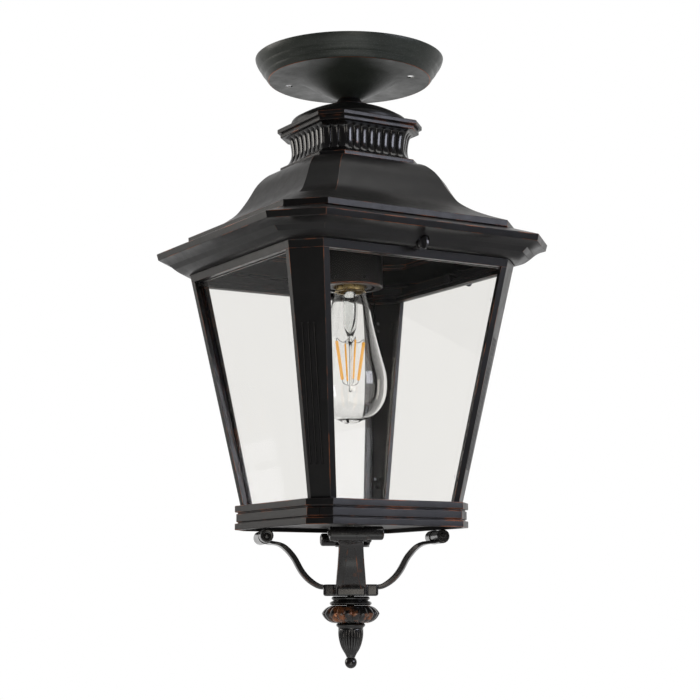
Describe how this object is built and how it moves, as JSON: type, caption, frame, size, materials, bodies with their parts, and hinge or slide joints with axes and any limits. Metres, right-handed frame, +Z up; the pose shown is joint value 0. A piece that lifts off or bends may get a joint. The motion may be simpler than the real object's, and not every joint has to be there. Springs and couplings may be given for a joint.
{
  "type": "ceiling lantern",
  "caption": "Square porch ceiling lantern: round canopy, ogee roof, tapering clear-glass cage with fluted corner posts, scroll feet and a melon and acorn finial.",
  "frame": {"origin": "centre of the canopy's rim, in the ceiling plane", "axes": "+Z up into the ceiling; the lantern hangs below; the four glass panes face -Y (front), +Y (rear), -X (left) and +X (right)"},
  "size_m": [0.278, 0.278, 0.5367],
  "materials": {
    "bronze_paint": "satin, very dark oil-rubbed bronze with rubbed copper-brown edges",
    "plated_steel": "dull plated",
    "clear_glass": "clear polished",
    "black_insulator": "matte moulded",
    "brass_shell": "plain drawn",
    "amber_filament": "amber coated stick"
  },
  "bodies": {
    "fixture": {"ceiling_canopy": "bronze_paint", "stem_nipple": "plated_steel", "canopy_washer": "plated_steel", "canopy_locknut": "plated_steel", "stem_collar": "bronze_paint", "cap_dome": "bronze_paint", "crown_cap": "bronze_paint", "cap_washer": "plated_steel", "cap_locknut": "plated_steel", "fluted_neck": "bronze_paint", "neck_plinth": "bronze_paint", "ogee_roof": "bronze_paint", "cornice": "bronze_paint", "socket_bridge": "bronze_paint", "socket_cup": "bronze_paint", "socket_stem": "plated_steel", "socket_locknut": "plated_steel", "lampholder": "black_insulator", "screw_shell": "brass_shell", "centre_contact": "brass_shell", "cup_screws": "plated_steel", "bridge_feet": "bronze_paint", "bridge_screws": "plated_steel"},
    "front_screw": {"thumb_screw_front": "bronze_paint"},
    "rear_screw": {"thumb_screw_rear": "bronze_paint"},
    "right_screw": {"thumb_screw_right": "bronze_paint"},
    "bulb": {"bulb_glass": "clear_glass", "bulb_cap": "brass_shell", "bulb_insulator": "black_insulator", "bulb_contact": "brass_shell", "bulb_stem": "clear_glass", "filament_sticks": "amber_filament", "filament_wires": "plated_steel"},
    "cage": {"cage_header": "bronze_paint", "post_front_left": "bronze_paint", "post_front_right": "bronze_paint", "post_rear_right": "bronze_paint", "post_rear_left": "bronze_paint", "pane_front": "clear_glass", "pane_rear": "clear_glass", "pane_left": "clear_glass", "pane_right": "clear_glass", "pane_clips": "plated_steel", "base_band": "bronze_paint", "bottom_plate": "bronze_paint", "plate_tabs": "plated_steel", "plate_screws": "plated_steel", "tie_rod": "plated_steel", "rod_nut": "plated_steel", "rod_washer": "plated_steel"},
    "spider": {"spider_hub": "bronze_paint", "scroll_arm_1": "bronze_paint", "scroll_arm_2": "bronze_paint", "scroll_arm_3": "bronze_paint", "scroll_arm_4": "bronze_paint"},
    "finial": {"finial_rings": "bronze_paint", "melon_ball": "bronze_paint", "finial_collar": "bronze_paint", "acorn_spike": "bronze_paint", "tip_ball": "bronze_paint"}
  },
  "joints": [
    {"name": "cage_drop", "type": "slide", "parent": "fixture", "child": "cage", "axis": [0, 0, -1], "range_m": [0, 0.16]},
    {"name": "front_screw_turn", "type": "hinge", "parent": "fixture", "child": "front_screw", "pos_m": [-0.0034, -0.112, -0.189], "axis": [0, -1, 0], "continuous": true},
    {"name": "rear_screw_turn", "type": "hinge", "parent": "fixture", "child": "rear_screw", "pos_m": [0.0034, 0.112, -0.189], "axis": [0, 1, 0], "continuous": true},
    {"name": "right_screw_turn", "type": "hinge", "parent": "fixture", "child": "right_screw", "pos_m": [0.112, 0, -0.189], "axis": [1, 0, 0], "continuous": true},
    {"name": "bulb_turn", "type": "hinge", "parent": "fixture", "child": "bulb", "pos_m": [0, 0, -0.2], "axis": [0, 0, 1], "continuous": true},
    {"name": "spider_turn", "type": "hinge", "parent": "cage", "child": "spider", "pos_m": [0, 0, -0.47], "axis": [0, 0, 1], "continuous": true},
    {"name": "finial_turn", "type": "hinge", "parent": "cage", "child": "finial", "pos_m": [0, 0, -0.49], "axis": [0, 0, 1], "continuous": true}
  ]
}
